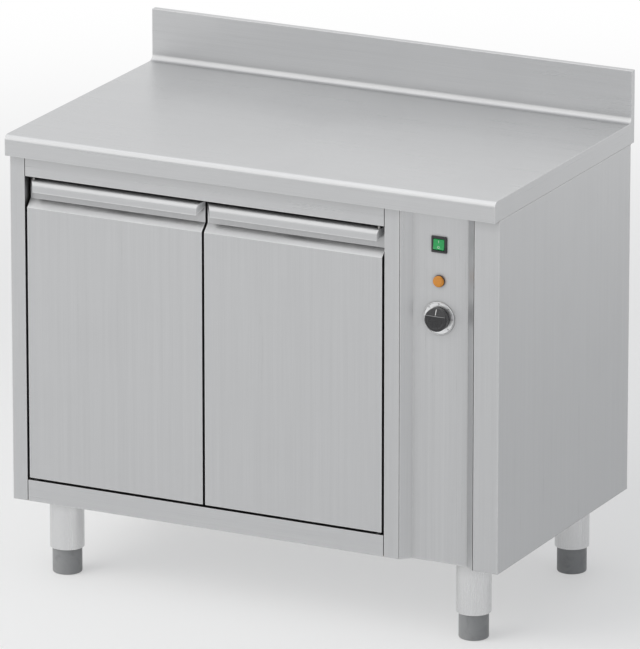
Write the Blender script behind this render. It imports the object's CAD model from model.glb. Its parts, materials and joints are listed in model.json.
# %% [markdown]
# A heated plate cabinet in satin steel
#
# The object is a kitchen cabinet that keeps plates warm: a folded steel body on four legs, a
# worktop with a backsplash, two doors with a grip along their top edge, and a recessed strip
# at the right with a switch, a pilot lamp and a thermostat. Its solids come from the CAD
# model, so this lesson is about what the solids lack: rounded folds, brushed grain, printed
# marks, and light.

# %% Load the fixed frame
import bpy
import bmesh
import math
import json
from mathutils import Vector, Matrix


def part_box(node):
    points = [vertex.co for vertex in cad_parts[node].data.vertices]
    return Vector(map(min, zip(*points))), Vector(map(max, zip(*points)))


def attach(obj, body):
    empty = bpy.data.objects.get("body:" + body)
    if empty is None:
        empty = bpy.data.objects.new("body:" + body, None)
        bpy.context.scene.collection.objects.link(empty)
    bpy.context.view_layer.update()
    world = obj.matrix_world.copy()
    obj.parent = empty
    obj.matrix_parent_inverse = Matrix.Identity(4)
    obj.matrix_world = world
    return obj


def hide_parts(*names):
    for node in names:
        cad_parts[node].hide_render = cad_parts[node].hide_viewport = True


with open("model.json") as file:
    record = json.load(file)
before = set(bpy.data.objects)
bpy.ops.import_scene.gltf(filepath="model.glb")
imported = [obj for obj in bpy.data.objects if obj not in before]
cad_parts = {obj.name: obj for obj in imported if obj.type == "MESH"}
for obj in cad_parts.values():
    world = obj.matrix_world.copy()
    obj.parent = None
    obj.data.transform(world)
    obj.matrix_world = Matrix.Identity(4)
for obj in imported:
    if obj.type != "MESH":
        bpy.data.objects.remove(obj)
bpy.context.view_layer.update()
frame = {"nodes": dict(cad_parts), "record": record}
scene = bpy.context.scene
nodes = frame["nodes"]

# %% [markdown]
# The camera
#
# The picture is drawn from far away, from the right front and a little above, so its upright
# lines stay parallel. A long lens at 16 metres gives the same calm perspective. The lens is
# worked out from the measured focal length in pixels of a frame 649 pixels high.

# %% Camera
view_az, view_el = math.radians(26.581), math.radians(17.039)
focal_px, picture_height_px, distance = 8663.4, 649.0, 16.1186
sensor_mm = 36.0
back = Vector((math.sin(view_az) * math.cos(view_el), -math.cos(view_az) * math.cos(view_el),
               math.sin(view_el)))
right = Vector((math.cos(view_az), math.sin(view_az), 0.0))
up = back.cross(right)
middle_of_model = Vector((0.0, 0.02, 0.48))
shift_right, shift_up = -0.00949, -0.00439
target = middle_of_model + right * shift_right + up * shift_up

camera = bpy.data.objects.new("camera", bpy.data.cameras.new("camera"))
scene.collection.objects.link(camera)
camera.matrix_world = Matrix.Translation(target + back * distance) @ Matrix(
    (right, up, back)).transposed().to_4x4()
camera.data.sensor_width = sensor_mm
camera.data.lens = focal_px * sensor_mm / picture_height_px
camera.data.clip_end = 60.0
scene.camera = camera
print("lens", round(camera.data.lens, 1), "mm at", distance, "m")

# %% [markdown]
# Light and background
#
# Steel shows what is around it, so the room matters more than the lamps. The world is white
# for what the camera, gloss and glass see, and a little darker for the light it gives, so the
# floor keeps a soft shadow. Big lamps give the faces their difference. The key lamp is hidden
# from gloss: it lights the floor and throws the shadow, and the steel mirrors both, but it
# burns no white streak into the rolled edges. A wider, weaker sheen lamp beside it is seen in
# the steel.

# %% World and lamps
lit_strength, seen_strength = 0.34, 1.0
cool, neutral, warm = (0.95, 0.975, 1.0), (1.0, 1.0, 1.0), (1.0, 0.985, 0.96)
world = bpy.data.worlds.new("white room")
scene.world = world
world.use_nodes = True
tree = world.node_tree
tree.nodes.clear()
path = tree.nodes.new("ShaderNodeLightPath")
seen = tree.nodes.new("ShaderNodeMath")
seen.operation = "MAXIMUM"
seen_all = tree.nodes.new("ShaderNodeMath")
seen_all.operation = "MAXIMUM"
lit = tree.nodes.new("ShaderNodeBackground")
lit.inputs["Color"].default_value = (0.93, 0.96, 1.0, 1.0)
lit.inputs["Strength"].default_value = lit_strength
white = tree.nodes.new("ShaderNodeBackground")
white.inputs["Color"].default_value = (1.0, 1.0, 1.0, 1.0)
white.inputs["Strength"].default_value = seen_strength
mix = tree.nodes.new("ShaderNodeMixShader")
out = tree.nodes.new("ShaderNodeOutputWorld")
tree.links.new(path.outputs["Is Camera Ray"], seen.inputs[0])
tree.links.new(path.outputs["Is Transmission Ray"], seen.inputs[1])
tree.links.new(seen.outputs[0], seen_all.inputs[0])
tree.links.new(path.outputs["Is Glossy Ray"], seen_all.inputs[1])
tree.links.new(seen_all.outputs[0], mix.inputs["Fac"])
tree.links.new(lit.outputs[0], mix.inputs[1])
tree.links.new(white.outputs[0], mix.inputs[2])
tree.links.new(mix.outputs[0], out.inputs["Surface"])


def area_lamp(name, place, aim, size, watts, colour):
    lamp = bpy.data.objects.new(name, bpy.data.lights.new(name, "AREA"))
    lamp.data.shape = "RECTANGLE"
    lamp.data.size, lamp.data.size_y = size
    lamp.data.energy = watts
    lamp.data.color = colour
    lamp.location = place
    lamp.rotation_euler = (Vector(aim) - Vector(place)).to_track_quat("-Z", "Y").to_euler()
    scene.collection.objects.link(lamp)
    return lamp


key = area_lamp("key lamp", (-3.4, -3.9, 3.7), (0, 0, 0.45), (5.0, 4.2), 150, warm)
key.visible_glossy = False
area_lamp("sheen lamp", (-3.5, -4.0, 3.8), (0, 0, 0.45), (7.0, 5.6), 60, warm)
area_lamp("fill lamp", (4.2, -1.2, 2.0), (0, 0, 0.5), (2.8, 3.0), 6, cool)
area_lamp("top lamp", (-0.3, -0.3, 4.4), (0, 0, 0.8), (4.6, 4.2), 34, neutral)
scene.view_settings.view_transform = "Standard"

# %% [markdown]
# Small helpers for node trees
#
# Every material here is made of nodes. Writing them by hand is long, so one helper adds a
# node with its settings and values, and another opens a shader group with named sockets.

# %% Node helpers
def add(tree, kind, settings=None, **values):
    node = tree.nodes.new(kind)
    for key, value in (settings or {}).items():
        setattr(node, key, value)
    for key, value in values.items():
        node.inputs[key.replace("_", " ")].default_value = value
    return node


def new_group(name, inputs, outputs):
    group = bpy.data.node_groups.new(name, "ShaderNodeTree")
    for label, kind, value in inputs:
        socket = group.interface.new_socket(label, in_out="INPUT", socket_type=kind)
        socket.default_value = value
    for label, kind in outputs:
        group.interface.new_socket(label, in_out="OUTPUT", socket_type=kind)
    return group, group.nodes.new("NodeGroupInput"), group.nodes.new("NodeGroupOutput")


def use_group(tree, group, **values):
    node = tree.nodes.new("ShaderNodeGroup")
    node.node_tree = group
    for key, value in values.items():
        node.inputs[key.replace("_", " ")].default_value = value
    return node


FLOAT, VECTOR = "NodeSocketFloat", "NodeSocketVector"

# %% [markdown]
# Brushed grain
#
# Satin steel is rubbed in one direction. The scratches are long and very thin, so noise is
# squeezed hard across the grain and stretched along it. Two sizes are mixed: fine hairs, and
# wider bands left by the belt. The group gives a value for colour and roughness, and a
# height for a bump. Faces that look left or right can have a grain direction of their own,
# because the folded ends of a worktop are rubbed along their length too.

# %% Group: brushed grain
grain_group, g_in, g_out = new_group(
    "brushed grain",
    [("Along", VECTOR, (1.0, 1.0, 1.0)), ("Ends", VECTOR, (1.0, 1.0, 1.0)),
     ("Bands", FLOAT, 0.35)],
    [("Value", FLOAT), ("Height", FLOAT)])
coords = add(grain_group, "ShaderNodeTexCoord")
facing = add(grain_group, "ShaderNodeSeparateXYZ")
sideways = add(grain_group, "ShaderNodeMath", {"operation": "ABSOLUTE"})
is_end = add(grain_group, "ShaderNodeMath", {"operation": "GREATER_THAN"})
is_end.inputs[1].default_value = 0.8
direction = add(grain_group, "ShaderNodeMix", {"data_type": "VECTOR"})
stretch = add(grain_group, "ShaderNodeVectorMath", {"operation": "MULTIPLY"})
hairs = add(grain_group, "ShaderNodeTexNoise", Scale=1.0, Detail=3.0, Roughness=0.62)
wide = add(grain_group, "ShaderNodeVectorMath", {"operation": "SCALE"})
wide.inputs["Scale"].default_value = 0.12
bands = add(grain_group, "ShaderNodeTexNoise", Scale=1.0, Detail=2.0, Roughness=0.5)
blend = add(grain_group, "ShaderNodeMix", {"data_type": "FLOAT"})
link = grain_group.links.new
link(coords.outputs["Object"], stretch.inputs[0])
link(coords.outputs["Normal"], facing.inputs[0])
link(facing.outputs["X"], sideways.inputs[0])
link(sideways.outputs[0], is_end.inputs[0])
link(is_end.outputs[0], direction.inputs["Factor"])
link(g_in.outputs["Along"], direction.inputs["A"])
link(g_in.outputs["Ends"], direction.inputs["B"])
link(direction.outputs["Result"], stretch.inputs[1])
link(stretch.outputs[0], hairs.inputs["Vector"])
link(stretch.outputs[0], wide.inputs[0])
link(wide.outputs[0], bands.inputs["Vector"])
link(g_in.outputs["Bands"], blend.inputs["Factor"])
link(hairs.outputs["Fac"], blend.inputs["A"])
link(bands.outputs["Fac"], blend.inputs["B"])
link(blend.outputs["Result"], g_out.inputs["Value"])
link(hairs.outputs["Fac"], g_out.inputs["Height"])

# %% [markdown]
# Smudges
#
# Steel in use is never evenly clean: wiping leaves soft clouds, and hands leave small dull
# spots. Both come from one noise at different sizes, cut so that most of the surface stays
# clean.

# %% Group: smudges
smudge_group, g_in, g_out = new_group(
    "smudges", [("Size", FLOAT, 6.0), ("Amount", FLOAT, 0.5)], [("Mask", FLOAT)])
coords = add(smudge_group, "ShaderNodeTexCoord")
clouds = add(smudge_group, "ShaderNodeTexNoise", Detail=4.0, Roughness=0.55, Distortion=0.6)
cut = add(smudge_group, "ShaderNodeMapRange", {"interpolation_type": "SMOOTHSTEP"},
          From_Min=0.45, From_Max=0.75, To_Min=0.0, To_Max=1.0)
amount = add(smudge_group, "ShaderNodeMath", {"operation": "MULTIPLY"})
link = smudge_group.links.new
link(coords.outputs["Object"], clouds.inputs["Vector"])
link(g_in.outputs["Size"], clouds.inputs["Scale"])
link(clouds.outputs["Fac"], cut.inputs["Value"])
link(cut.outputs["Result"], amount.inputs[0])
link(g_in.outputs["Amount"], amount.inputs[1])
link(amount.outputs[0], g_out.inputs["Mask"])

# %% [markdown]
# Edge wear
#
# Folds and corners are rubbed brighter on metal and paler on plastic. The Bevel node gives
# the normal that a rounded edge would have; where it differs from the true one there is an
# edge. A noise breaks the line up.

# %% Group: edge wear
wear_group, g_in, g_out = new_group(
    "edge wear", [("Width", FLOAT, 0.0015), ("Amount", FLOAT, 0.5)], [("Mask", FLOAT)])
softened = add(wear_group, "ShaderNodeBevel", {"samples": 4})
plain = add(wear_group, "ShaderNodeNewGeometry")
same = add(wear_group, "ShaderNodeVectorMath", {"operation": "DOT_PRODUCT"})
edge = add(wear_group, "ShaderNodeMapRange", From_Min=0.985, From_Max=0.88, To_Min=0.0,
           To_Max=1.0)
coords = add(wear_group, "ShaderNodeTexCoord")
breaks = add(wear_group, "ShaderNodeTexNoise", Scale=90.0, Detail=3.0)
product = add(wear_group, "ShaderNodeMath", {"operation": "MULTIPLY"})
amount = add(wear_group, "ShaderNodeMath", {"operation": "MULTIPLY", "use_clamp": True})
link = wear_group.links.new
link(g_in.outputs["Width"], softened.inputs["Radius"])
link(softened.outputs[0], same.inputs[0])
link(plain.outputs["Normal"], same.inputs[1])
link(same.outputs["Value"], edge.inputs["Value"])
link(coords.outputs["Object"], breaks.inputs["Vector"])
link(edge.outputs["Result"], product.inputs[0])
link(breaks.outputs["Fac"], product.inputs[1])
link(product.outputs[0], amount.inputs[0])
link(g_in.outputs["Amount"], amount.inputs[1])
link(amount.outputs[0], g_out.inputs["Mask"])

# %% [markdown]
# Grime in corners
#
# Where two sheets meet, a thin dark line stays that no wiping reaches, and the inside of a
# fold is duller. Ambient Occlusion measures how much a point is closed in within a few
# millimetres, which is just where such dirt lies. A second, wider and weaker use of the group
# dulls what lies under an overhang, such as the rail below the worktop's lip.

# %% Group: corner grime
grime_group, g_in, g_out = new_group(
    "corner grime", [("Reach", FLOAT, 0.004), ("Amount", FLOAT, 0.8)], [("Mask", FLOAT)])
closed_in = add(grime_group, "ShaderNodeAmbientOcclusion", {"samples": 6})
shade = add(grime_group, "ShaderNodeMapRange", From_Min=0.95, From_Max=0.45, To_Min=0.0,
            To_Max=1.0)
amount = add(grime_group, "ShaderNodeMath", {"operation": "MULTIPLY", "use_clamp": True})
link = grime_group.links.new
link(g_in.outputs["Reach"], closed_in.inputs["Distance"])
link(closed_in.outputs["AO"], shade.inputs["Value"])
link(shade.outputs["Result"], amount.inputs[0])
link(g_in.outputs["Amount"], amount.inputs[1])
link(amount.outputs[0], g_out.inputs["Mask"])

# %% [markdown]
# Satin steel
#
# One recipe serves every visible sheet, with its own grain direction: along the worktop and
# its folded ends, upright on doors and side panels, and along the rails. Grain moves the
# colour and the roughness a little, smudges make it duller, and worn folds brighter.

# %% Satin steel
smudge_roughness = 0.12
rubbed, dirt = (0.86, 0.86, 0.86, 1.0), (0.09, 0.088, 0.085, 1.0)


def satin_steel(name, along, light, dark, rough, bump=0.04, bands=0.35, smudge=0.5,
                ends=None):
    mat = bpy.data.materials.new(name)
    mat.use_nodes = True
    t = mat.node_tree
    bsdf = t.nodes["Principled BSDF"]
    bsdf.inputs["Metallic"].default_value = 0.88
    bsdf.inputs["Anisotropic"].default_value = 0.45
    grain = use_group(t, grain_group, Along=along, Ends=ends or along, Bands=bands)
    clouds = use_group(t, smudge_group, Size=5.0, Amount=smudge)
    worn = use_group(t, wear_group, Width=0.003, Amount=0.75)
    grime = use_group(t, grime_group, Reach=0.007, Amount=0.85)
    shelter = use_group(t, grime_group, Reach=0.028, Amount=0.4)
    deeper = add(t, "ShaderNodeMath", {"operation": "MAXIMUM"})
    dirty = add(t, "ShaderNodeMix", {"data_type": "RGBA"})
    dirty.inputs["B"].default_value = dirt
    colour = add(t, "ShaderNodeMix", {"data_type": "RGBA"})
    colour.inputs["A"].default_value = (*dark, 1.0)
    colour.inputs["B"].default_value = (*light, 1.0)
    bright = add(t, "ShaderNodeMix", {"data_type": "RGBA"})
    bright.inputs["B"].default_value = rubbed
    ramp = add(t, "ShaderNodeMapRange", From_Min=0.25, From_Max=0.75,
               To_Min=rough - 0.07, To_Max=rough + 0.09)
    duller = add(t, "ShaderNodeMath", {"operation": "MULTIPLY_ADD"})
    duller.inputs[1].default_value = smudge_roughness
    height = add(t, "ShaderNodeBump", Strength=bump, Distance=0.0006)
    t.links.new(grain.outputs["Value"], colour.inputs["Factor"])
    t.links.new(colour.outputs["Result"], bright.inputs["A"])
    t.links.new(worn.outputs["Mask"], bright.inputs["Factor"])
    t.links.new(bright.outputs["Result"], dirty.inputs["A"])
    t.links.new(grime.outputs["Mask"], deeper.inputs[0])
    t.links.new(shelter.outputs["Mask"], deeper.inputs[1])
    t.links.new(deeper.outputs[0], dirty.inputs["Factor"])
    t.links.new(dirty.outputs["Result"], bsdf.inputs["Base Color"])
    t.links.new(grain.outputs["Value"], ramp.inputs["Value"])
    t.links.new(clouds.outputs["Mask"], duller.inputs[0])
    t.links.new(ramp.outputs["Result"], duller.inputs[2])
    t.links.new(duller.outputs[0], bsdf.inputs["Roughness"])
    t.links.new(grain.outputs["Height"], height.inputs["Height"])
    t.links.new(height.outputs["Normal"], bsdf.inputs["Normal"])
    return mat


pale, grey = (0.63, 0.635, 0.642), (0.47, 0.475, 0.483)
steel_x = satin_steel("satin steel, grain left to right", (5, 900, 900), pale, grey, 0.30,
                      ends=(900, 5, 900))
steel_z = satin_steel("satin steel, upright grain", (900, 900, 5), pale, grey, 0.32)
tube_steel = satin_steel("polished tube steel", (700, 700, 8), (0.74, 0.745, 0.75),
                         (0.62, 0.62, 0.625), 0.22, bump=0.03, smudge=0.6)
inner_steel = satin_steel("mill finish steel inside", (40, 500, 500), (0.66, 0.665, 0.67),
                          (0.52, 0.525, 0.53), 0.38, bump=0.02, bands=0.6, smudge=0.8)
print("steels:", [m.name for m in (steel_x, steel_z, tube_steel, inner_steel)])

# %% [markdown]
# Plated, cast and heated metals
#
# Hidden brackets are zinc plated, with a cloudy spangle. The heating element has been hot,
# so its oxide runs from straw to dark blue. The motor's case is painted, and brass and copper
# are darkened in patches.

# %% Other metals
def plain_metal(name, light, dark, rough, size=30.0, metallic=1.0, bump=0.05, coat=0.0):
    mat = bpy.data.materials.new(name)
    mat.use_nodes = True
    t = mat.node_tree
    bsdf = t.nodes["Principled BSDF"]
    bsdf.inputs["Metallic"].default_value = metallic
    bsdf.inputs["Coat Weight"].default_value = coat
    clouds = use_group(t, smudge_group, Size=size, Amount=1.0)
    worn = use_group(t, wear_group, Width=0.0008, Amount=0.7)
    colour = add(t, "ShaderNodeMix", {"data_type": "RGBA"})
    colour.inputs["A"].default_value = (*light, 1.0)
    colour.inputs["B"].default_value = (*dark, 1.0)
    rub = add(t, "ShaderNodeMix", {"data_type": "RGBA"})
    rub.inputs["B"].default_value = (*[min(1.0, c * 1.35 + 0.04) for c in light], 1.0)
    ramp = add(t, "ShaderNodeMapRange", From_Min=0.0, From_Max=1.0,
               To_Min=rough, To_Max=rough + 0.15)
    height = add(t, "ShaderNodeBump", Strength=bump, Distance=0.0005)
    t.links.new(clouds.outputs["Mask"], colour.inputs["Factor"])
    t.links.new(colour.outputs["Result"], rub.inputs["A"])
    t.links.new(worn.outputs["Mask"], rub.inputs["Factor"])
    t.links.new(rub.outputs["Result"], bsdf.inputs["Base Color"])
    t.links.new(clouds.outputs["Mask"], ramp.inputs["Value"])
    t.links.new(ramp.outputs["Result"], bsdf.inputs["Roughness"])
    t.links.new(clouds.outputs["Mask"], height.inputs["Height"])
    t.links.new(height.outputs["Normal"], bsdf.inputs["Normal"])
    return mat


zinc = plain_metal("zinc plate", (0.62, 0.63, 0.65), (0.46, 0.47, 0.5), 0.36, 60)
dial_metal = plain_metal("anodised dial", (0.78, 0.785, 0.79), (0.7, 0.7, 0.71), 0.3, 40)
fan_metal = plain_metal("fan aluminium", (0.72, 0.73, 0.74), (0.55, 0.56, 0.57), 0.35, 50)
element_metal = plain_metal("heated oxide", (0.2, 0.17, 0.15), (0.07, 0.08, 0.12), 0.45, 25)
pin_steel = plain_metal("oiled pin steel", (0.3, 0.295, 0.29), (0.16, 0.155, 0.15), 0.3, 70)
copper = plain_metal("copper", (0.78, 0.42, 0.27), (0.42, 0.22, 0.15), 0.3, 60)
brass = plain_metal("brass", (0.8, 0.62, 0.3), (0.5, 0.36, 0.16), 0.3, 60)
motor_paint = plain_metal("motor paint", (0.09, 0.095, 0.1), (0.05, 0.05, 0.055), 0.5, 40,
                          metallic=0.0, coat=0.2)

# %% [markdown]
# Moulded plastics, rubber and wool
#
# Mouldings have a fine spark texture. It is too small to see as bumps, but it spreads the
# shine. Mineral wool is a mat of fibres, so its texture is coarser and its bump much stronger.

# %% Plastics and wool
wear_per_metre = 800.0
acrylic_ior = 1.49
lamp_glow = 0.08


def moulded(name, base, rough, texture=900.0, bump=0.12, glow=None, clear=0.0, wear=0.0006):
    mat = bpy.data.materials.new(name)
    mat.use_nodes = True
    t = mat.node_tree
    bsdf = t.nodes["Principled BSDF"]
    bsdf.inputs["Transmission Weight"].default_value = clear
    bsdf.inputs["IOR"].default_value = acrylic_ior
    clouds = use_group(t, smudge_group, Size=45.0, Amount=0.8)
    worn = use_group(t, wear_group, Width=wear, Amount=wear * wear_per_metre)
    coords = add(t, "ShaderNodeTexCoord")
    spark = add(t, "ShaderNodeTexNoise", Scale=texture, Detail=2.0)
    colour = add(t, "ShaderNodeMix", {"data_type": "RGBA"})
    colour.inputs["A"].default_value = (*base, 1.0)
    colour.inputs["B"].default_value = (*[c * 0.8 for c in base], 1.0)
    rub = add(t, "ShaderNodeMix", {"data_type": "RGBA"})
    rub.inputs["B"].default_value = (*[c * 0.75 + 0.12 for c in base], 1.0)
    ramp = add(t, "ShaderNodeMapRange", From_Min=0.3, From_Max=0.7,
               To_Min=rough - 0.05, To_Max=rough + 0.08)
    height = add(t, "ShaderNodeBump", Strength=bump, Distance=0.0002)
    t.links.new(coords.outputs["Object"], spark.inputs["Vector"])
    t.links.new(clouds.outputs["Mask"], colour.inputs["Factor"])
    t.links.new(colour.outputs["Result"], rub.inputs["A"])
    t.links.new(worn.outputs["Mask"], rub.inputs["Factor"])
    t.links.new(rub.outputs["Result"], bsdf.inputs["Base Color"])
    t.links.new(spark.outputs["Fac"], ramp.inputs["Value"])
    t.links.new(ramp.outputs["Result"], bsdf.inputs["Roughness"])
    t.links.new(spark.outputs["Fac"], height.inputs["Height"])
    t.links.new(height.outputs["Normal"], bsdf.inputs["Normal"])
    if glow:
        bsdf.inputs["Emission Color"].default_value = (*glow, 1.0)
        bsdf.inputs["Emission Strength"].default_value = lamp_glow
    return mat


black_plastic = moulded("black moulded plastic", (0.028, 0.028, 0.03), 0.33)
knob_plastic = moulded("handled knob plastic", (0.022, 0.022, 0.024), 0.26, wear=0.0014)
sealant = moulded("dark sealant", (0.05, 0.05, 0.052), 0.5)
foot_plastic = moulded("grey foot plastic", (0.30, 0.305, 0.31), 0.45)
white_plastic = moulded("white terminal plastic", (0.78, 0.77, 0.73), 0.35)
green_plastic = moulded("green rocker plastic", (0.02, 0.33, 0.09), 0.2, bump=0.03,
                        glow=(0.02, 0.5, 0.12))
amber_plastic = moulded("amber lamp plastic", (0.95, 0.4, 0.04), 0.1, bump=0.02,
                        glow=(1.0, 0.38, 0.04), clear=0.25)
print_grey = moulded("grey print", (0.42, 0.42, 0.42), 0.4, bump=0.02)
wire_rubber = moulded("wire rubber", (0.03, 0.03, 0.032), 0.55)
print_white = moulded("white print", (0.85, 0.85, 0.84), 0.5, bump=0.02)
print_black = moulded("black print", (0.015, 0.015, 0.016), 0.5, bump=0.02)
wool = moulded("mineral wool", (0.62, 0.53, 0.27), 0.9, texture=260.0, bump=0.9)

# %% [markdown]
# Materials for the carried-over solids
#
# Each record slot gets one material, and a few sheets get their own grain direction. The
# solid keeps its mesh; only its material slots change.

# %% Dress the CAD nodes
slot_material = {
    "steel": steel_z, "inner_steel": inner_steel, "zinc_steel": zinc, "mineral_wool": wool,
    "foot_plastic": foot_plastic, "black_plastic": black_plastic,
    "white_plastic": white_plastic, "green_plastic": green_plastic,
    "amber_plastic": amber_plastic, "dial_aluminium": dial_metal,
    "fan_aluminium": fan_metal, "element_steel": element_metal, "motor_paint": motor_paint,
    "copper": copper, "brass": brass, "wire_rubber": wire_rubber}
own_material = {"worktop_skin": steel_x, "top_rail": steel_x, "bottom_rail": steel_x,
                "leg_sleeves": tube_steel, "left_door_grip": steel_x,
                "right_door_grip": steel_x, "service_cover": steel_x,
                "left_door_pins": pin_steel, "right_door_pins": pin_steel}
slot_of = {p["node"]: p["material_slot"] for p in frame["record"]["subparts"]}
body_of = {n: b for b, ns in frame["record"]["behaviour"]["bodies"].items() for n in ns}


def dress(obj, mat):
    obj.data.materials.clear()
    obj.data.materials.append(mat)


for name, obj in nodes.items():
    dress(obj, own_material.get(name, slot_material[slot_of[name]]))
print("dressed", len(nodes), "nodes")

# %% [markdown]
# Rounded folds
#
# A sheet that is bent has a radius, and a mirror-like line runs along it. The solids have
# knife edges there. A copy of the solid's mesh is welded into one skin and gets a Bevel
# modifier, which rounds every edge sharper than 30 degrees. Weighted normals then keep the
# big sheets truly flat, so a reflection doesn't bend near a fold. The copy stands for the node.
# Rails and the control strip are cut a millimetre or so short, which leaves the joint that the
# picture draws between them and the stiles. A bead of dark sealant closes the rails' joints.

# %% Helpers: a piece, its mesh, a rounded copy of a node
weld, at_the_end = 0.00002, 0.0001


def finish_mesh(bm, name, smooth=30.0):
    mesh = bpy.data.meshes.new(name)
    bm.to_mesh(mesh)
    bm.free()
    for face in mesh.polygons:
        face.use_smooth = True
    mesh.set_sharp_from_angle(angle=math.radians(smooth))
    return mesh


def new_piece(name, mesh, mat, body, stands_for=()):
    obj = bpy.data.objects.new(name, mesh)
    scene.collection.objects.link(obj)
    dress(obj, mat)
    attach(obj, body)
    if stands_for:
        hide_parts(*stands_for)
    return obj


def rounded(name, width, joint=0.0, segments=3, angle=30.0):
    mesh = nodes[name].data.copy()
    bm = bmesh.new()
    bm.from_mesh(mesh)
    bmesh.ops.remove_doubles(bm, verts=bm.verts, dist=weld)
    bmesh.ops.dissolve_limit(bm, angle_limit=math.radians(1.0), verts=bm.verts, edges=bm.edges)
    low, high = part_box(name)
    for v in bm.verts:
        if v.co.x < low.x + at_the_end:
            v.co.x += joint
        elif v.co.x > high.x - at_the_end:
            v.co.x -= joint
    bm.to_mesh(mesh)
    bm.free()
    mat = nodes[name].data.materials[0]
    obj = new_piece(name + "_rounded", mesh, mat, body_of[name], [name])
    mod = obj.modifiers.new("rounded folds", "BEVEL")
    mod.width = width
    mod.segments = segments
    mod.limit_method = "ANGLE"
    mod.angle_limit = math.radians(angle)
    mod.use_clamp_overlap = True
    for face in mesh.polygons:
        face.use_smooth = True
    flat = obj.modifiers.new("flat sheets", "WEIGHTED_NORMAL")
    flat.mode = "FACE_AREA"
    flat.weight = 100
    flat.keep_sharp = False
    return obj


# %% Fold radii of the outer sheets
fold_radius = {
    "worktop_skin": 0.0007, "left_side_panel": 0.00055, "right_side_panel": 0.00055,
    "partition_panel": 0.00055, "top_rail": 0.00055, "bottom_rail": 0.00055,
    "control_panel": 0.0007, "left_door_skin": 0.00055, "right_door_skin": 0.00055,
    "left_door_inner": 0.0005, "right_door_inner": 0.0005, "service_cover": 0.0004,
    "left_door_grip": 0.0005, "right_door_grip": 0.0005, "leg_sleeves": 0.0006,
    "front_left_foot": 0.0015, "front_right_foot": 0.0015, "rear_left_foot": 0.0015,
    "rear_right_foot": 0.0015, "switch_housing": 0.0008, "lamp_body": 0.0005,
    "door_magnets": 0.0008, "thermostat_body": 0.0008, "terminal_block": 0.0008,
    "fan_motor": 0.0015, "cable_gland": 0.0006}
rail_joint, strip_joint = 0.0016, 0.0009
joints = {"top_rail": rail_joint, "bottom_rail": rail_joint, "control_panel": strip_joint}
for name, width in fold_radius.items():
    rounded(name, width, joints.get(name, 0.0))
print("rounded", len(fold_radius), "nodes")

# %% Sealant in the rails' joints
bead_sunk, bead_bow, bead_thick, bead_short = 0.0006, 0.0002, 0.0003, 0.002
bead_w = rail_joint - 0.00001
rails = ("top_rail", "bottom_rail")
beads = bmesh.new()
for rail in rails:
    low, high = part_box(rail)
    for x in (low.x + rail_joint / 2, high.x - rail_joint / 2):
        bead = bmesh.ops.create_grid(beads, x_segments=3, y_segments=24, size=0.5)["verts"]
        for v in bead:
            bow = bead_bow * (1 - (2 * v.co.x) ** 2)
            v.co = Vector((x + v.co.x * bead_w, low.y + bead_sunk + bow,
                           (low.z + high.z) / 2 + v.co.y * (high.z - low.z - bead_short)))
bmesh.ops.recalc_face_normals(beads, faces=beads.faces)
bmesh.ops.solidify(beads, geom=beads.faces[:], thickness=bead_thick)
new_piece("rail_sealant", finish_mesh(beads, "rail sealant"), sealant, "cabinet")

# %% [markdown]
# The dial plate
#
# The dial is a thin aluminium disc with a rolled rim. Ticks and numbers are printed on the
# ring that the knob leaves free. The print is thin mesh just above the face, so it needs no
# image. Numbers run clockwise from 30 to 90 degrees, with a zero for off.

# %% Dial plate
low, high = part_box("thermostat_dial")
dial_c = (low + high) / 2
dial_r = (high.x - low.x) / 2
dial_front = low.y


def lathe(profile, steps=96):
    """A closed solid of revolution about +Z: profile is a list of (radius, height)."""
    bm = bmesh.new()
    rings = []
    for r, z in profile:
        if r < 1e-6:
            rings.append([bm.verts.new((0, 0, z))])
        else:
            rings.append([bm.verts.new((r * math.cos(2 * math.pi * k / steps),
                                        r * math.sin(2 * math.pi * k / steps), z))
                          for k in range(steps)])
    for a, b in zip(rings, rings[1:]):
        for k in range(steps):
            m = (k + 1) % steps
            corners = [a[k % len(a)], a[m % len(a)], b[m % len(b)], b[k % len(b)]]
            face = []
            for v in corners:
                if v not in face:
                    face.append(v)
            if len(face) > 2:
                bm.faces.new(face)
    bmesh.ops.recalc_face_normals(bm, faces=bm.faces)
    return bm


def to_front(bm, centre, front_y):
    """Turn +Z towards the viewer's side, -Y, and set z = 0 on the plane front_y."""
    turn = Matrix.Translation((centre.x, front_y, centre.z)) @ Matrix.Rotation(
        math.radians(90), 4, "X")
    bmesh.ops.transform(bm, matrix=turn, verts=bm.verts)


hole, dish = 0.0052, 0.0007
thick = high.y - low.y
bm = lathe([(hole, -thick), (dial_r, -thick), (dial_r, -dish), (dial_r - 0.0003, -0.0002),
            (dial_r - 0.0009, 0.0), (dial_r - 0.0015, -0.0003), (dial_r - 0.0018, -dish),
            (hole, -dish), (hole, -thick)])
to_front(bm, dial_c, dial_front)
new_piece("dial_plate", finish_mesh(bm, "dial plate"), dial_metal, "cabinet",
          ["thermostat_dial"])
print("dial", round(dial_r * 2000, 1), "mm across")

# %% Dial print
start_angle, end_angle = math.radians(225), math.radians(-45)
ink_h = 0.0001
print_y = dial_front + 0.00062
tick_steps, tick_start, number_r, number_size = 12, 0.0232, 0.0272, 0.0036
numbers = ("0", "30", "40", "50", "60", "75", "90")


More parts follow.
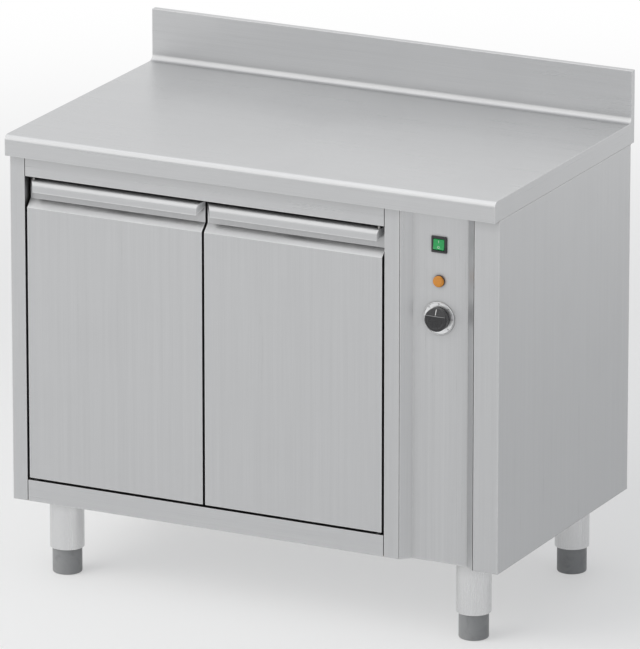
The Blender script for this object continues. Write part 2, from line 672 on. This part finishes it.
def bar(bm, centre, angle, inner, outer, width, y):
    radial = Vector((math.cos(angle), 0, math.sin(angle)))
    side = Vector((-math.sin(angle), 0, math.cos(angle)))
    c = Vector((centre.x, y, centre.z))
    pts = [c + radial * r + side * s for r, s in ((inner, -width / 2), (outer, -width / 2),
                                                  (outer, width / 2), (inner, width / 2))]
    front = [bm.verts.new(p) for p in pts]
    behind = [bm.verts.new(p + Vector((0, ink_h, 0))) for p in pts]
    bm.faces.new(front)
    bm.faces.new(behind[::-1])
    for k in range(4):
        bm.faces.new((front[k], behind[k], behind[(k + 1) % 4], front[(k + 1) % 4]))


bm = bmesh.new()
for k in range(tick_steps + 1):
    angle = start_angle + (end_angle - start_angle) * k / tick_steps
    tick_end, tick_w = (0.0252, 0.00045) if k % 2 == 0 else (0.0243, 0.0003)
    bar(bm, dial_c, angle, tick_start, tick_end, tick_w, print_y)
bmesh.ops.recalc_face_normals(bm, faces=bm.faces)
new_piece("dial_ticks", finish_mesh(bm, "dial ticks"), print_black, "cabinet")


def lettering(name, words, size, place, mat, body):
    curve = bpy.data.curves.new(name, "FONT")
    curve.body = words
    curve.size = size
    curve.align_x, curve.align_y = "CENTER", "CENTER"
    curve.extrude = ink_h / 2
    temp = bpy.data.objects.new(name, curve)
    scene.collection.objects.link(temp)
    bpy.context.view_layer.update()
    mesh = bpy.data.meshes.new_from_object(temp.evaluated_get(
        bpy.context.evaluated_depsgraph_get()))
    bpy.data.objects.remove(temp)
    mesh.transform(Matrix.Translation(place) @ Matrix.Rotation(math.radians(90), 4, "X"))
    return new_piece(name, mesh, mat, body)


for k, number in enumerate(numbers):
    angle = start_angle + (end_angle - start_angle) * k / (len(numbers) - 1)
    spot = Vector((dial_c.x + number_r * math.cos(angle), print_y,
                   dial_c.z + number_r * math.sin(angle)))
    lettering("dial_number_" + number, number, number_size, spot, print_black, "cabinet")
print("printed", tick_steps + 1, "ticks and", len(numbers), "numbers")

# %% [markdown]
# The knob
#
# The knob is a fluted black cap. Its upper third is cut back at a slant. A grey rib along that
# edge gives the straight line across its face in the picture, and a white pointer is let into
# the slant. The cap is turned as a lathe body, its side is fluted by moving vertices in and
# out, and the slant is cut with a plane, whose edge is then rounded.

# %% Knob
flutes, flute_depth = 40, 0.0006
low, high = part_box("thermostat_knob")
knob_r = (high.x - low.x) / 2
knob_front = low.y
knob_back = dial_front - 0.0005
knob_h = knob_back - knob_front
side_z = [knob_h * k / 10 for k in range(1, 10)]
bm = lathe([(0, 0), (knob_r - 0.0012, 0.0), (knob_r, 0.0010)]
           + [(knob_r, z) for z in side_z]
           + [(knob_r - 0.0004, knob_h - 0.0008), (knob_r - 0.0016, knob_h), (0.016, knob_h),
              (0.0155, knob_h - 0.0004), (0, knob_h - 0.0004)], 240)
for v in bm.verts:
    r = math.hypot(v.co.x, v.co.y)
    if r > knob_r * 0.93 and 0.0015 < v.co.z < knob_h - 0.0006:
        flute = 0.5 - 0.5 * math.cos(math.atan2(v.co.y, v.co.x) * flutes)
        scale = (r - flute_depth * flute) / r
        v.co.x *= scale
        v.co.y *= scale
chord, drop, skin = 0.008, 0.007, 0.0001
normal = Vector((0, drop, knob_r + 0.001 - chord)).normalized()
bmesh.ops.bisect_plane(bm, geom=bm.verts[:] + bm.edges[:] + bm.faces[:], dist=1e-7,
                       plane_co=Vector((0, chord, knob_h - skin)), plane_no=normal,
                       clear_outer=True)
rim = [e for e in bm.edges if e.is_boundary]
bmesh.ops.holes_fill(bm, edges=rim, sides=0)
bmesh.ops.recalc_face_normals(bm, faces=bm.faces)
ridge = [e for e in bm.edges if all(abs(v.co.y - chord) < 0.0009 for v in e.verts)
         and any(f.normal.dot(normal) > 0.999 for f in e.link_faces)]
bmesh.ops.bevel(bm, geom=ridge, offset=0.0005, segments=2, profile=0.5, affect="EDGES")
to_front(bm, dial_c, knob_back)
new_piece("knob_cap", finish_mesh(bm, "knob cap", 35.0), knob_plastic,
          "thermostat_knob", ["thermostat_knob"])
print("knob", round(knob_r * 2000, 1), "mm across,", round(knob_h * 1000, 1), "mm high")

# %% Knob's rib
rib_w, rib_thick = 0.0004, 0.0007
bm = bmesh.new()
half = math.sqrt(knob_r ** 2 - chord ** 2) - 0.0012
rib = bmesh.ops.create_grid(bm, x_segments=24, y_segments=2, size=1.0)["verts"]
for v in rib:
    v.co = Vector((v.co.x * half, chord - rib_w + v.co.y * rib_w,
                   knob_h + 0.00004 - 0.0001 * v.co.y ** 2))
bmesh.ops.recalc_face_normals(bm, faces=bm.faces)
bmesh.ops.solidify(bm, geom=bm.faces[:], thickness=rib_thick)
to_front(bm, dial_c, knob_back)
new_piece("knob_rib", finish_mesh(bm, "knob rib"), print_grey, "thermostat_knob")
print("rib", round(half * 2000, 1), "mm long")

# %% Knob's pointer
slope = drop / (knob_r + 0.001 - chord)
half_w, near, tip, proud, let_in = 0.0007, 0.0095, 0.0195, 0.00012, 0.0004
bm = bmesh.new()
pts = [(-half_w, near), (half_w, near), (half_w, tip), (-half_w, tip)]
top, low_v = [[bm.verts.new((x, y, knob_h - skin - (y - chord) * slope + lift)) for x, y in pts]
              for lift in (proud, -let_in)]
bm.faces.new(top)
bm.faces.new(low_v[::-1])
for k in range(4):
    bm.faces.new((top[k], low_v[k], low_v[(k + 1) % 4], top[(k + 1) % 4]))
bmesh.ops.recalc_face_normals(bm, faces=bm.faces)
to_front(bm, dial_c, knob_back)
new_piece("knob_pointer", finish_mesh(bm, "knob pointer"), print_white, "thermostat_knob")
print("pointer", round((tip - near) * 1000, 1), "mm long")

# %% [markdown]
# The rocker and the lamp
#
# The rocker's two slanted faces come from the CAD solid; it gets soft edges and the printed
# bar and ring. The lamp's lens is a turned dome with fine grooves. A Wave texture in rings
# about the lens's own axis darkens the amber in bands, as the moulded rings of such a lens do,
# and lifts a bump.

# %% Rocker and its marks
rounded("switch_rocker", 0.0006)
lean = math.radians(7)
face_depth, mark_z, mark_thick = 0.0055, 0.0052, 0.0003
pivot_y, pivot_z = -0.28 + 0.0195, 0.755
low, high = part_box("switch_rocker")
pivot = Vector(((low.x + high.x) / 2, pivot_y, pivot_z))
tilt = Matrix.Translation(pivot) @ Matrix.Rotation(-lean, 4, "X")


def on_rocker(mesh_bm, z_mid):
    """Lay a flat mark, drawn in X and Z about zero, on the rocker's upper or lower face."""
    y_face = -face_depth - abs(z_mid) * math.tan(lean)
    place = Matrix.Translation((0, y_face - 0.00006, z_mid)) @ Matrix.Rotation(
        math.copysign(lean, z_mid), 4, "X")
    bmesh.ops.transform(mesh_bm, matrix=tilt @ place, verts=mesh_bm.verts)


def flat_mark(outline_pairs):
    bm = bmesh.new()
    for ring in outline_pairs:
        front = [bm.verts.new((x, 0.0, z)) for x, z in ring]
        behind = [bm.verts.new((x, mark_thick, z)) for x, z in ring]
        bm.faces.new(front)
        bm.faces.new(behind[::-1])
        n = len(ring)
        for k in range(n):
            bm.faces.new((front[k], behind[k], behind[(k + 1) % n], front[(k + 1) % n]))
    return bm


half_bar, outer_r, inner_r, sides = 0.0004, 0.0022, 0.0015, 24
on_mark = flat_mark([[(-half_bar, -outer_r), (half_bar, -outer_r), (half_bar, outer_r),
                      (-half_bar, outer_r)]])
on_rocker(on_mark, mark_z)
bmesh.ops.recalc_face_normals(on_mark, faces=on_mark.faces)
new_piece("rocker_on_mark", finish_mesh(on_mark, "on mark"), print_white, "switch_rocker")
segments = []
for k in range(sides):
    a, b = 2 * math.pi * k / sides, 2 * math.pi * (k + 1) / sides
    segments.append([(r * math.cos(turn), r * math.sin(turn)) for r, turn in (
        (inner_r, a), (outer_r, a), (outer_r, b), (inner_r, b))])
off_mark = flat_mark(segments)
bmesh.ops.remove_doubles(off_mark, verts=off_mark.verts, dist=1e-6)
on_rocker(off_mark, -mark_z)
bmesh.ops.recalc_face_normals(off_mark, faces=off_mark.faces)
new_piece("rocker_off_mark", finish_mesh(off_mark, "off mark"), print_white, "switch_rocker")
print("rocker marks at", mark_z * 1000, "mm above and below the middle")

# %% The lamp's lens
steps, groove_depth = 16, 0.00018
low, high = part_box("lamp_lens")
lens_c = (low + high) / 2
lens_r, lens_h = (high.x - low.x) / 2, high.y - low.y
profile = [(0, 0), (lens_r, 0), (lens_r, lens_h * 0.5)]
for k in range(1, steps):
    rise = math.radians(90 * k / steps)
    groove = groove_depth if k % 2 else 0.0
    profile += [(lens_r * math.cos(rise), lens_h * (0.5 + 0.5 * math.sin(rise)) - groove)]
profile += [(0, lens_h)]
bm = lathe(profile, 64)
to_front(bm, lens_c, high.y)
new_piece("lamp_cap", finish_mesh(bm, "lamp cap", 40.0), amber_plastic, "cabinet",
          ["lamp_lens"])
print("lens", round(lens_r * 2000, 1), "mm across")

# %% Rings in the lens's amber
ring_scale, ring_share = 250.0, 0.6
t = amber_plastic.node_tree
coords = add(t, "ShaderNodeTexCoord")
centred = add(t, "ShaderNodeVectorMath", {"operation": "SUBTRACT"})
centred.inputs[1].default_value = lens_c
rings = add(t, "ShaderNodeTexWave", {"wave_type": "RINGS", "rings_direction": "Y"},
            Scale=ring_scale)
body_colour = add(t, "ShaderNodeMix", {"data_type": "RGBA"})
body_colour.inputs["B"].default_value = (0.55, 0.16, 0.01, 1.0)
part = add(t, "ShaderNodeMath", {"operation": "MULTIPLY"})
part.inputs[1].default_value = ring_share
ridges = add(t, "ShaderNodeBump", Strength=0.5, Distance=0.0003)
shader = t.nodes["Principled BSDF"]
before = shader.inputs["Base Color"].links[0].from_socket
t.links.new(coords.outputs["Object"], centred.inputs[0])
t.links.new(centred.outputs["Vector"], rings.inputs["Vector"])
t.links.new(rings.outputs["Fac"], part.inputs[0])
t.links.new(part.outputs[0], body_colour.inputs["Factor"])
t.links.new(before, body_colour.inputs["A"])
t.links.new(body_colour.outputs["Result"], shader.inputs["Base Color"])
t.links.new(rings.outputs["Fac"], ridges.inputs["Height"])
t.links.new(shader.inputs["Normal"].links[0].from_socket, ridges.inputs["Normal"])
t.links.new(ridges.outputs["Normal"], shader.inputs["Normal"])
print("amber has", len(t.nodes), "nodes")

# %% [markdown]
# Screws of the rear cover
#
# Six pan-head screws hold the rear service cover. Each head is a low dome with a cross
# recess: the dome is turned, and the recess is pushed in by moving the vertices that lie
# under a cross.

# %% Cross-head screws
head_r, head_h, shank_r, shank_l = 0.004, 0.0022, 0.0018, 0.010
slot_half_w, slot_r, slot_depth = 0.00045, 0.0023, 0.0012
low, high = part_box("cover_screws")
heads = [(x, z) for x in (low.x + head_r, high.x - head_r)
         for z in (low.z + head_r, (low.z + high.z) / 2, high.z - head_r)]
screws = bmesh.new()
for x, z in heads:
    bm = lathe([(0, -shank_l), (shank_r, -shank_l), (shank_r, 0.0), (head_r, 0.0),
                (head_r, 0.0009), (0.0036, 0.0016), (0.003, 0.002)]
               + [(r, head_h) for r in (0.0022, 0.0016, 0.0011, 0.0007, 0.0003, 0)], 32)
    for v in bm.verts:
        across, along = sorted((abs(v.co.x), abs(v.co.y)))
        if v.co.z > 0.0015 and across < slot_half_w and along < slot_r:
            v.co.z -= slot_depth
    turn = Matrix.Translation((x, high.y - head_h, z)) @ Matrix.Rotation(
        math.radians(-90), 4, "X")
    bmesh.ops.transform(bm, matrix=turn, verts=bm.verts)
    temp = bpy.data.meshes.new("one screw")
    bm.to_mesh(temp)
    bm.free()
    screws.from_mesh(temp)
    bpy.data.meshes.remove(temp)
new_piece("cross_head_screws", finish_mesh(screws, "cross head screws"), zinc, "cabinet",
          ["cover_screws"])
print(len(heads), "screws")

# %% [markdown]
# The floor
#
# The picture has a white ground. The floor is a real pale surface that takes the soft shadow
# under the feet. For what the camera, gloss and glass see, plain white is mixed in: less than
# half near the feet, so the shadow stays, and all of it from about four metres out, so the
# floor runs into the white room without an edge.

# %% Floor
floor_half, floor_drop = 20.0, 0.0005
fade_from, fade_to, white_near = 1.5, 4.2, 0.42
bm = bmesh.new()
bmesh.ops.create_grid(bm, x_segments=8, y_segments=8, size=floor_half)
floor_mesh = bpy.data.meshes.new("floor")
bm.to_mesh(floor_mesh)
bm.free()
floor = bpy.data.objects.new("floor", floor_mesh)
scene.collection.objects.link(floor)
floor.location.z = -floor_drop
floor_mat = bpy.data.materials.new("pale floor")
floor_mat.use_nodes = True
t = floor_mat.node_tree
ground = t.nodes["Principled BSDF"]
ground.inputs["Base Color"].default_value = (0.93, 0.93, 0.93, 1.0)
ground.inputs["Roughness"].default_value = 0.7
plain_white = add(t, "ShaderNodeEmission", Strength=1.0)
seen_by = add(t, "ShaderNodeLightPath")
either = add(t, "ShaderNodeMath", {"operation": "MAXIMUM"})
any_of = add(t, "ShaderNodeMath", {"operation": "MAXIMUM"})
share = add(t, "ShaderNodeMath", {"operation": "MULTIPLY"})
spot = add(t, "ShaderNodeTexCoord")
far = add(t, "ShaderNodeVectorMath", {"operation": "LENGTH"})
fade = add(t, "ShaderNodeMapRange", {"interpolation_type": "SMOOTHSTEP"},
           From_Min=fade_from, From_Max=fade_to, To_Min=white_near, To_Max=1.0)
t.links.new(spot.outputs["Object"], far.inputs[0])
t.links.new(far.outputs["Value"], fade.inputs["Value"])
t.links.new(fade.outputs["Result"], share.inputs[1])
blend = add(t, "ShaderNodeMixShader")
t.links.new(seen_by.outputs["Is Camera Ray"], either.inputs[0])
t.links.new(seen_by.outputs["Is Glossy Ray"], either.inputs[1])
t.links.new(either.outputs[0], any_of.inputs[0])
t.links.new(seen_by.outputs["Is Transmission Ray"], any_of.inputs[1])
t.links.new(any_of.outputs[0], share.inputs[0])
t.links.new(share.outputs[0], blend.inputs["Fac"])
t.links.new(ground.outputs[0], blend.inputs[1])
t.links.new(plain_white.outputs[0], blend.inputs[2])
t.links.new(blend.outputs[0], t.nodes["Material Output"].inputs["Surface"])
floor.data.materials.append(floor_mat)
print("floor fades to white from", fade_from, "to", fade_to, "m")
